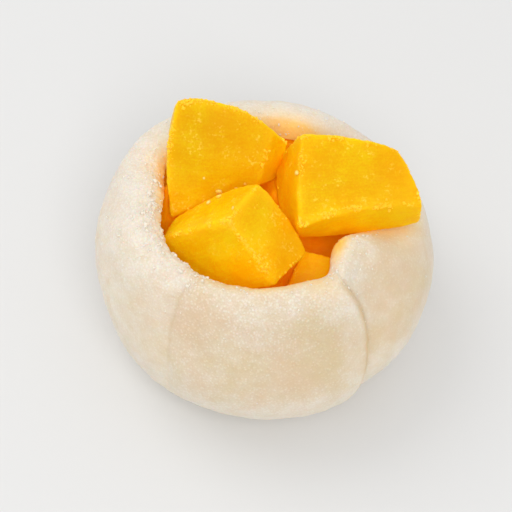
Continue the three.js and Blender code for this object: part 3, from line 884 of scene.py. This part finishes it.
def clot_chance(points, normals, rim, turn):
    """Clots cling to the torn stretch of the lip."""
    lip = (rim > RIM_CLOTS["start"]) & (normals[:, 2] > RIM_CLOTS["facing"])
    lip &= np.hypot(points[:, 0], points[:, 1]) < CREST_RADIUS
    return lip * nearness(turn, RIM_CLOTS) * clumped_at(points, RIM_CLOTS)


def make_crumbs(dough):
    """Specks of starch over the outside of the dough, and clots of it on the torn rim."""
    points, normals = points_of(dough), normals_of(dough)
    rim, turn = attribute_of(dough, "rim"), attribute_of(dough, "turn")
    rng = np.random.default_rng(CRUMBS["seed"])
    specks, speck_sizes = picked_by(rng, crumb_chance(points, normals, rim), CRUMBS)
    clots, clot_sizes = picked_by(rng, clot_chance(points, normals, rim, turn), RIM_CLOTS)
    picked = np.concatenate([specks, clots])
    sizes = np.concatenate([speck_sizes, clot_sizes])
    flats = rng.uniform(*CRUMBS["flat"], len(picked))
    shapes = lump_shapes(rng, CRUMBS["kinds"])
    return scattered("starch_crumbs", shapes, points[picked], normals[picked], sizes, flats, rng)


def grain_places(rng, chunk, count):
    """Places and normals along the cut edges of a chunk, on the sides that face up and forwards."""
    points, normals = points_of(chunk), normals_of(chunk)
    facing = np.clip(normals[:, 2] + PULP_GRAINS["facing"], 0, 1)
    facing *= 1 - smoothstep(normals[:, 1], *PULP_GRAINS["back"])
    chance = attribute_of(chunk, "edge") ** 3 * facing * clumped_at(points, PULP_GRAINS)
    picked = rng.choice(len(points), count, replace=False, p=chance / chance.sum())
    return points[picked], normals[picked]


def make_pulp_grains(chunks):
    """Small swollen grains of flesh along the cut edges of the chunks."""
    rng = np.random.default_rng(PULP_GRAINS["seed"])
    vertices = [len(chunk.data.vertices) for chunk in chunks]
    counts = [int(PULP_GRAINS["count"] * (count / sum(vertices))) for count in vertices]
    found = [grain_places(rng, chunk, count) for chunk, count in zip(chunks, counts)]
    places, normals = (np.concatenate(parts) for parts in zip(*found))
    sizes = sizes_of(rng, len(places), PULP_GRAINS)
    flats = rng.uniform(*PULP_GRAINS["flat"], len(places))
    shapes = lump_shapes(rng, PULP_GRAINS["kinds"])
    piece = scattered("mango_pulp_grains", shapes, places, normals, sizes, flats, rng)
    # grains are painted as full pale edge with its highlight, and without painted gap shade or glow
    for name, value in (("edge", 1), ("gap_shade", 0), ("lit", 0), ("loosened", 0)):
        paint(piece, name, np.full(len(piece.data.vertices), value))
    paint_places(piece, "grain", points_of(piece))
    return piece


def make_juice_beads(chunks, bed):
    """Flattened round beads of juice, dropped on to the fruit from above."""
    rng = np.random.default_rng(BEAD_SEED)
    tree = surface_tree([*chunks, bed])
    landings = [tree.ray_cast(Vector((x, y, DROP_HEIGHT)), Vector((0, 0, -1))) for x, y, _ in BEADS]
    places = np.array([place for place, _, _, _ in landings])
    normals = np.array([normal for _, normal, _, _ in landings])
    sizes = [radius for _, _, radius in BEADS]
    return scattered("juice_beads", [ball_shape(BEAD_LEVEL)], places, normals, sizes,
                     [BEAD_FLATNESS] * len(sizes), rng)


# ======================= Materials =======================

def add_node(tree, kind, inputs=None, **settings):
    """A new node, with its settings made and each named input linked or set."""
    node = tree.nodes.new(kind)
    for name, value in settings.items():
        setattr(node, name, value)
    for name, value in (inputs or {}).items():
        connect(tree, value, node.inputs[name])
    return node


def connect(tree, value, socket):
    """Links an output to a socket, or sets the socket to a plain value."""
    if isinstance(value, bpy.types.NodeSocket):
        tree.links.new(value, socket)
    else:
        socket.default_value = value


def calculate(tree, operation, *values):
    node = add_node(tree, "ShaderNodeMath", operation=operation)
    for i, value in enumerate(values):
        connect(tree, value, node.inputs[i])
    return node.outputs[0]


def product(tree, a, b):
    return calculate(tree, "MULTIPLY", a, b)


def added_up(tree, plain, *weighted):
    """A plain value plus several others, each times its weight."""
    total = plain
    for value, weight in weighted:
        total = calculate(tree, "MULTIPLY_ADD", value, weight, total)
    return total


def weighted_sum(tree, weights, **values):
    """The values added up, each times the weight of its name."""
    return added_up(tree, 0.0, *((value, weights[name]) for name, value in values.items()))


def blend_colours(tree, share, low, high):
    node = add_node(tree, "ShaderNodeMix", data_type="RGBA")
    connect(tree, share, node.inputs["Factor"])
    connect(tree, low, node.inputs["A"])
    connect(tree, high, node.inputs["B"])
    return node.outputs["Result"]


def span(tree, value, low, high, out_low=0.0, out_high=1.0):
    """A value's range stretched smoothly to another range."""
    node = add_node(tree, "ShaderNodeMapRange", interpolation_type="SMOOTHSTEP")
    for name, number in (("From Min", low), ("From Max", high), ("To Min", out_low), ("To Max", out_high)):
        node.inputs[name].default_value = number
    connect(tree, value, node.inputs["Value"])
    return node.outputs["Result"]


def noise_texture(tree, place, per_millimetre, detail=2.0, roughness=0.5):
    node = add_node(tree, "ShaderNodeTexNoise", {"Vector": place, "Scale": per_millimetre, "Detail": detail,
                                                 "Roughness": roughness})
    return node.outputs["Fac"]


def painted(tree, name, output="Fac"):
    """What a piece was painted with under this name."""
    node = add_node(tree, "ShaderNodeAttribute", attribute_name=name, attribute_type="GEOMETRY")
    return node.outputs[output]


def painted_sum(tree, plain, **weights):
    """A plain value plus what the piece was painted with, each name by its weight."""
    return added_up(tree, plain, *((painted(tree, name), weight) for name, weight in weights.items()))


def millimetre_places(tree):
    """The place on the piece, in millimetres."""
    here = add_node(tree, "ShaderNodeTexCoord").outputs["Object"]
    scaled = add_node(tree, "ShaderNodeVectorMath", {0: here}, operation="SCALE")
    scaled.inputs["Scale"].default_value = 1 / MM
    return scaled.outputs["Vector"]


def colour(red, green, blue):
    """A display colour from 0 to 255 as the linear colour that a shader takes."""
    def linear(value):
        value /= 255
        return value / 12.92 if value <= 0.04045 else ((value + 0.055) / 1.055) ** 2.4
    return (linear(red), linear(green), linear(blue), 1)


def new_group(name, inputs, outputs):
    """An empty shader group with float inputs, each with its starting value, and a Place vector."""
    group = bpy.data.node_groups.new(name, "ShaderNodeTree")
    group.interface.new_socket(name="Place", in_out="INPUT", socket_type="NodeSocketVector")
    for label, value in inputs.items():
        socket = group.interface.new_socket(name=label, in_out="INPUT", socket_type="NodeSocketFloat")
        socket.default_value = value
    for label in outputs:
        group.interface.new_socket(name=label, in_out="OUTPUT", socket_type="NodeSocketFloat")
    return group, group.nodes.new("NodeGroupInput").outputs, group.nodes.new("NodeGroupOutput").inputs


def put_out(group, result, **values):
    """Links what a shader group has worked out to its outputs, by name."""
    for label, value in values.items():
        group.links.new(value, result[label])


CLUMP_SIDES = (0.55, 0.05)  # distances from a clump's middle where it ends, and where it is highest


def clump_texture(tree, place, per_millimetre):
    """Rounded clumps packed side by side: 1 at the middle of each, 0 between them."""
    node = add_node(tree, "ShaderNodeTexVoronoi", {"Vector": place, "Scale": per_millimetre})
    return span(tree, node.outputs["Distance"], *CLUMP_SIDES)


STARCH_GRAINS = dict(clumps=0.4, fine=0.6)  # what clumps, and fine grains among them, add to the height
CLUMP_FINENESS = 0.55  # over that of the fine grains
STARCH_LEVEL = 0.45  # usual height of the grains
STARCH_DRIFTS = 0.9  # how strongly the drifts change the cover
STARCH_COVER = (0.3, 1.35)  # from bare dough to thick starch
STARCH_BODY = 0.4  # how much higher thick starch stands
SPECK_HEIGHTS = (0.5, 0.72)  # grains this high stand out pale
PIT_HEIGHTS = (0.42, 0.22)  # and between grains this low the dough shows


def starch_dust_group():
    """Dry starch in soft drifts made of grains: how thick it lies, its specks and pits, and its height."""
    group, given, result = new_group(
        "starch_dust", {"Cover": 0.5, "Drift Size": 4, "Grain Size": 0.3, "Graininess": 0.5},
        ["Mask", "Specks", "Pits", "Height"])
    place, graininess = given["Place"], given["Graininess"]
    drift_scale = calculate(group, "DIVIDE", 1.0, given["Drift Size"])
    drifts = noise_texture(group, place, drift_scale, detail=4.0, roughness=0.6)
    grain_scale = calculate(group, "DIVIDE", 1.0, given["Grain Size"])
    fine = noise_texture(group, place, grain_scale, roughness=0.7)
    clumps = clump_texture(group, place, product(group, grain_scale, CLUMP_FINENESS))
    grains = weighted_sum(group, STARCH_GRAINS, fine=fine, clumps=clumps)
    drifted = added_up(group, given["Cover"], (drifts, STARCH_DRIFTS))
    speckle = product(group, calculate(group, "SUBTRACT", grains, STARCH_LEVEL), graininess)
    mask = span(group, calculate(group, "ADD", drifted, speckle), *STARCH_COVER)
    specks = product(group, span(group, grains, *SPECK_HEIGHTS), graininess)
    pits = product(group, span(group, grains, *PIT_HEIGHTS), graininess)
    height = added_up(group, grains, (mask, STARCH_BODY))
    put_out(group, result, Mask=mask, Specks=specks, Pits=pits, Height=height)
    return group


FLESH_PACE = 0.16  # slow changes of tone in a millimetre
FLESH_TONE = dict(slow=0.46, fibres=0.18, cells=0.36)  # what each adds to the tone
FLESH_HEIGHT = dict(cells=0.5, fibres=0.25, pulp=0.6)  # and to the height
PULP = dict(  # flesh loosened into grains, in patches
    pace=0.3, patches=(0.48, 0.66),  # patches in a millimetre, and the noise from side to middle of one
    fineness=0.5, grains=(0.5, 0.75),  # fineness over that of the cells, and the noise that is a grain
)


def fruit_flesh_group():
    """Ripe flesh: slow changes of tone, faint fibres, fine cells and patches of loosened pulp."""
    group, given, result = new_group(
        "fruit_flesh", {"Fibre Width": 0.35, "Fibre Length": 5, "Cell Size": 0.3}, ["Tone", "Height", "Pulp"])
    place = given["Place"]
    across = calculate(group, "DIVIDE", 1.0, given["Fibre Width"])
    along = calculate(group, "DIVIDE", 1.0, given["Fibre Length"])
    stretch = add_node(group, "ShaderNodeCombineXYZ", {"X": along, "Y": across, "Z": across}).outputs[0]
    stretched = add_node(group, "ShaderNodeVectorMath", {0: place, 1: stretch}, operation="MULTIPLY")
    fibres = noise_texture(group, stretched.outputs["Vector"], 1.0)
    cell_scale = calculate(group, "DIVIDE", 1.0, given["Cell Size"])
    cells = noise_texture(group, place, cell_scale, roughness=0.6)
    slow = noise_texture(group, place, FLESH_PACE, detail=3.0, roughness=0.55)
    grain_scale = product(group, cell_scale, PULP["fineness"])
    grains = span(group, noise_texture(group, place, grain_scale, detail=1.0), *PULP["grains"])
    drifts = noise_texture(group, place, PULP["pace"], detail=3.0, roughness=0.6)
    pulp = product(group, grains, span(group, drifts, *PULP["patches"]))
    tone = weighted_sum(group, FLESH_TONE, slow=slow, fibres=fibres, cells=cells)
    height = weighted_sum(group, FLESH_HEIGHT, cells=cells, fibres=fibres, pulp=pulp)
    put_out(group, result, Tone=tone, Height=height, Pulp=pulp)
    return group


def place_group(tree, group, place, **values):
    """Sets a shader group into a material with the material's own values, and gives what it puts out."""
    node = add_node(tree, "ShaderNodeGroup", node_tree=group)
    connect(tree, place, node.inputs["Place"])
    for label, value in values.items():
        connect(tree, value, node.inputs[label.replace("_", " ")])
    return node.outputs


def new_material(name, **constants):
    """A material with its Principled shader's plain values set."""
    material = bpy.data.materials.new(name)
    material.use_nodes = True
    shader = material.node_tree.nodes["Principled BSDF"]
    for label, value in constants.items():
        shader.inputs[label.replace("_", " ")].default_value = value
    return material, material.node_tree, shader.inputs


def add_bump(tree, height, distance, strength):
    node = add_node(tree, "ShaderNodeBump", {"Height": height, "Distance": distance, "Strength": strength})
    return node.outputs["Normal"]


# Looks of the dough and its starch
BARE_DOUGH = (colour(219, 199, 161), colour(223, 199, 167))  # two tones that drift into each other
DOUGH_PACE = 0.11  # drifts in a millimetre
DOUGH_TONES = (0.35, 0.65)  # the noise that is the one tone and the other
DOUGH_MARKS = dict(specks=0.6, pits=0.5, seam_shading=0.55)  # how strongly each shows; the last is the painted shade along the fold and the front crease
DOUGH_ROUGHNESS = (0.5, 0.85)  # bare, and under thick starch
STARCH = colour(236, 229, 216)
STARCH_SPECK = colour(246, 238, 228)
DOUGH_PIT = colour(205, 182, 152)
SEAM_SHADE = colour(204, 168, 106)
# juice-stained dough, partly painted orange bounce light from the fruit
JUICE_STAIN_AND_BOUNCE = colour(240, 195, 86)
LOOSE_STARCH = (colour(238, 227, 208), colour(245, 238, 224))
NO_LIGHT = colour(0, 0, 0)
FRUIT_LIGHT = (1, 0.7, 0.2, 1)  # painted glow, an emission for the light that the fruit passes on to the dough close beside it
FRUIT_LIGHT_STRENGTH = 0.22

# Looks of the flesh and its juice
FLESH_TONES = (0.38, 0.62)  # the tone that looks deep and the one that looks bright
FLESH_MARKS = dict(edges=0.6, pulp=0.65)  # how strongly each shows: the paler cut edges with their painted highlight, and the pulp
FLESH_ROUGHNESS = dict(tones=(0.35, 0.65), roughness=(0.32, 0.5))  # it is rougher where the tone is higher
GAP_SHADE_FLESH = colour(234, 148, 3)  # painted orange shade on flesh down between the chunks, where light comes back orange
PULP_FLECK = colour(246, 222, 96)
GLOW = (0.45, 0.16, 0, 1)  # painted glow, an emission for the light that comes back out of ripe flesh
LIT_GLOW = (1, 0.3, 0, 1)  # and a stronger painted glow where the pale dough beside it would light it up
JUICE = (colour(255, 212, 70), colour(255, 232, 150))
JUICE_CLOUDS = dict(pace=2.0, noise=(0.3, 0.7))
FLESHES = {  # the reach of light in each, in metres, and the strength of the painted glow that stands in for light coming back out
    "ripe_mango": dict(deep=colour(217, 164, 2), bright=colour(221, 194, 12), pale_edge_and_highlight=colour(236, 210, 34),
                       reach=0.003, glow=0.36),
    "mango_pulp": dict(deep=colour(252, 157, 3), bright=colour(253, 178, 8), pale_edge_and_highlight=colour(253, 194, 24),
                       reach=0.0015, glow=0.14),
    "loose_pulp": dict(deep=colour(250, 190, 20), bright=colour(252, 206, 40), pale_edge_and_highlight=colour(255, 216, 70),
                       reach=0.00015, glow=0.36),
}


def dough_powder(tree, dust, place):
    """Starch on the dough: thick and grainy at the rim, grainy on the lobe, and thin on the warm patches."""
    cover = painted_sum(tree, 0.5, warm=-0.5, rim=0.2)
    graininess = painted_sum(tree, 0.19, lobe=0.15, rim=0.2)
    return place_group(
        tree, dust, place, Cover=cover, Drift_Size=3.2, Grain_Size=0.31, Graininess=graininess)


def dough_colour(tree, place, powder):
    """Bare dough under drifts, specks and pits of starch, with painted shade along its folds and creases, and
    juice stains that are partly painted orange bounce light.
    """
    slow = noise_texture(tree, place, DOUGH_PACE)
    bare = blend_colours(tree, span(tree, slow, *DOUGH_TONES), *BARE_DOUGH)
    dusted = blend_colours(tree, powder["Mask"], bare, STARCH)
    specks = product(tree, powder["Specks"], DOUGH_MARKS["specks"])
    pits = product(tree, powder["Pits"], DOUGH_MARKS["pits"])
    grainy = blend_colours(tree, pits, blend_colours(tree, specks, dusted, STARCH_SPECK), DOUGH_PIT)
    seam_shading = product(tree, painted(tree, "seam_shade"), DOUGH_MARKS["seam_shading"])
    # painted shade along the fold and the front crease
    seam_shaded = blend_colours(tree, seam_shading, grainy, SEAM_SHADE)
    return blend_colours(tree, painted(tree, "stain_and_bounce"), seam_shaded, JUICE_STAIN_AND_BOUNCE)


def dough_material(dust):
    """Soft steamed dough under starch, with a faint painted glow where the fruit lies close."""
    material, tree, shader = new_material(
        "dusted_rice_dough", Subsurface_Weight=0.6, Subsurface_Radius=(1.0, 0.62, 0.38),
        Subsurface_Scale=0.0022, Specular_IOR_Level=0.3, IOR=1.42, Sheen_Weight=0.1, Sheen_Roughness=0.5,
        Emission_Strength=FRUIT_LIGHT_STRENGTH)
    place = millimetre_places(tree)
    powder = dough_powder(tree, dust, place)
    tree.links.new(dough_colour(tree, place, powder), shader["Base Color"])
    # painted glow where the fruit lies close
    fruit_light = blend_colours(tree, painted(tree, "fruit_light"), NO_LIGHT, FRUIT_LIGHT)
    tree.links.new(fruit_light, shader["Emission Color"])
    tree.links.new(span(tree, powder["Mask"], 0, 1, *DOUGH_ROUGHNESS), shader["Roughness"])
    tree.links.new(add_bump(tree, powder["Height"], distance=0.00012, strength=0.8), shader["Normal"])
    return material


def crumb_material(dust):
    """Dry loose starch."""
    material, tree, shader = new_material(
        "loose_starch", Subsurface_Weight=0.3, Subsurface_Radius=(1.0, 0.9, 0.8), Subsurface_Scale=0.0001,
        Roughness=0.8, Specular_IOR_Level=0.3)
    powder = place_group(tree, dust, millimetre_places(tree), Cover=0.6, Drift_Size=0.5, Grain_Size=0.12)
    tree.links.new(blend_colours(tree, powder["Mask"], *LOOSE_STARCH), shader["Base Color"])
    tree.links.new(add_bump(tree, powder["Height"], distance=0.00004, strength=0.6), shader["Normal"])
    return material


def flesh_material(name, flesh, deep, bright, pale_edge_and_highlight, reach, glow):
    """Wet fruit: deeper in the grain, brighter in loosened pulp, paler along cut edges with a painted
    highlight where they face up, painted orange shade in the gaps, and a painted glow.
    """
    material, tree, shader = new_material(
        name, Subsurface_Weight=1.0, Subsurface_Radius=(1.0, 0.5, 0.08), Subsurface_Scale=reach,
        Specular_IOR_Level=0.12, IOR=1.36, Emission_Strength=glow)
    grain = place_group(
        tree, flesh, painted(tree, "grain", "Vector"), Fibre_Width=0.45, Fibre_Length=4.0, Cell_Size=0.3)
    tone = blend_colours(tree, span(tree, grain["Tone"], *FLESH_TONES), deep, bright)
    # paler cut edges, with a painted highlight where they face up
    edges = product(tree, painted(tree, "edge"), FLESH_MARKS["edges"])
    cut = blend_colours(tree, edges, tone, pale_edge_and_highlight)
    # painted orange shade in the gaps and against neighbouring pieces
    plain = blend_colours(tree, painted(tree, "gap_shade"), cut, GAP_SHADE_FLESH)
    loosened = product(tree, painted(tree, "loosened"), FLESH_MARKS["pulp"])
    pulp = product(tree, grain["Pulp"], loosened)
    tree.links.new(blend_colours(tree, pulp, plain, PULP_FLECK), shader["Base Color"])
    roughness = span(tree, grain["Tone"], *FLESH_ROUGHNESS["tones"], *FLESH_ROUGHNESS["roughness"])
    tree.links.new(roughness, shader["Roughness"])
    tree.links.new(add_bump(tree, grain["Height"], distance=0.0001, strength=0.4), shader["Normal"])
    # painted glow, stronger at the lit places
    tree.links.new(blend_colours(tree, painted(tree, "lit"), GLOW, LIT_GLOW), shader["Emission Color"])
    return material


def juice_material():
    """Cloudy juice."""
    material, tree, shader = new_material(
        "mango_juice", Subsurface_Weight=0.3, Subsurface_Scale=0.0001, IOR=1.35, Roughness=0.2)
    noise_here = noise_texture(tree, millimetre_places(tree), JUICE_CLOUDS["pace"])
    clouds = span(tree, noise_here, *JUICE_CLOUDS["noise"])
    tree.links.new(blend_colours(tree, clouds, *JUICE), shader["Base Color"])
    return material


# ======================= Stage, light and camera =======================

PICTURE_PIXELS = 512
CAMERA_RISE = 63.0  # degrees above the table
CAMERA_DISTANCE = 300.0
PIXELS_PER_MM = 5.45  # at the middle of the ball
CAMERA_AIM = (-1.468, 0.654, 17.333)  # the place in the middle of the picture
SENSOR = 36.0  # width
CAMERA_CLIP = (0.01, 10)  # in metres, as are the floor and the lights
FLOOR_SIDE = 3
FLOOR_COLOUR = colour(224, 224, 223)
ROOM = dict(tint=(0.99, 0.99, 1.0), strength=0.72)
LIGHT_AIM = (0, 0, 0.02)
LIGHTS = {
    "window": dict(place=(-0.45, 0.35, 0.75), size=0.7, power=1.95, tint=(1.0, 0.99, 0.97)),
    "front_fill": dict(place=(0.12, -0.5, 0.85), size=0.6, power=3.2, tint=(1.0, 1.0, 1.0)),
}


def make_camera():
    rise = math.radians(CAMERA_RISE)
    right = Vector((1, 0, 0))
    up = Vector((0, math.sin(rise), math.cos(rise)))
    back = Vector((0, -math.cos(rise), math.sin(rise)))
    data = bpy.data.cameras.new("camera")
    data.sensor_width = SENSOR
    data.lens = PIXELS_PER_MM * CAMERA_DISTANCE / PICTURE_PIXELS * SENSOR
    data.clip_start, data.clip_end = CAMERA_CLIP
    camera = bpy.data.objects.new("camera", data)
    bpy.context.scene.collection.objects.link(camera)
    matrix = Matrix((right, up, back)).transposed().to_4x4()
    matrix.translation = (Vector(CAMERA_AIM) + back * CAMERA_DISTANCE) * MM
    camera.matrix_world = matrix
    bpy.context.scene.camera = camera


def make_floor():
    bpy.ops.mesh.primitive_plane_add(size=FLOOR_SIDE)
    floor = bpy.context.object
    floor.name = "pale_floor"
    material, _, _ = new_material(
        "pale_floor", Base_Color=FLOOR_COLOUR, Roughness=0.5, Specular_IOR_Level=0.3)
    floor.data.materials.append(material)


def make_light(name, place, size, power, tint):
    data = bpy.data.lights.new(name, "AREA")
    data.shape = "DISK"
    data.size = size
    data.energy = power
    data.color = tint
    light = bpy.data.objects.new(name, data)
    light.location = place
    light.rotation_euler = (Vector(place) - Vector(LIGHT_AIM)).to_track_quat("Z", "Y").to_euler()
    bpy.context.scene.collection.objects.link(light)


def make_world(tint, strength):
    world = bpy.data.worlds.new("soft_room")
    world.use_nodes = True
    background = world.node_tree.nodes["Background"]
    background.inputs["Color"].default_value = (*tint, 1)
    background.inputs["Strength"].default_value = strength
    bpy.context.scene.world = world


# ======================= The piece =======================

dough = make_dough()
chunks = {name: make_chunk(name, chunk) for name, chunk in CHUNKS.items()}
bed = make_bed(list(chunks.values()))

fruit = [*chunks.values(), bed]
for piece in fruit:
    paint_gap_shade_and_glow(piece, [other for other in (dough, *fruit) if other is not piece])
paint_stain_bounce_and_glow(dough, surface_tree(fruit))
paint_warmth(dough)

crumbs = make_crumbs(dough)
grains = make_pulp_grains(list(chunks.values()))
beads = make_juice_beads(list(chunks.values()), bed)

dust_group = starch_dust_group()
flesh_group = fruit_flesh_group()
flesh = {name: flesh_material(name, flesh_group, **look) for name, look in FLESHES.items()}

finish_piece(dough, dough_material(dust_group), "rice_dough", "mochi_skin")
for name, chunk in chunks.items():
    finish_piece(chunk, flesh["ripe_mango"], "mango", name)
finish_piece(bed, flesh["mango_pulp"], "mango_pulp", "mango_bed")
finish_piece(crumbs, crumb_material(dust_group), "rice_dough")
finish_piece(grains, flesh["loose_pulp"], "mango")
finish_piece(beads, juice_material(), "mango")

make_camera()
make_floor()
make_world(**ROOM)
for name, light in LIGHTS.items():
    make_light(name, **light)
bpy.context.scene.view_settings.view_transform = "Standard"
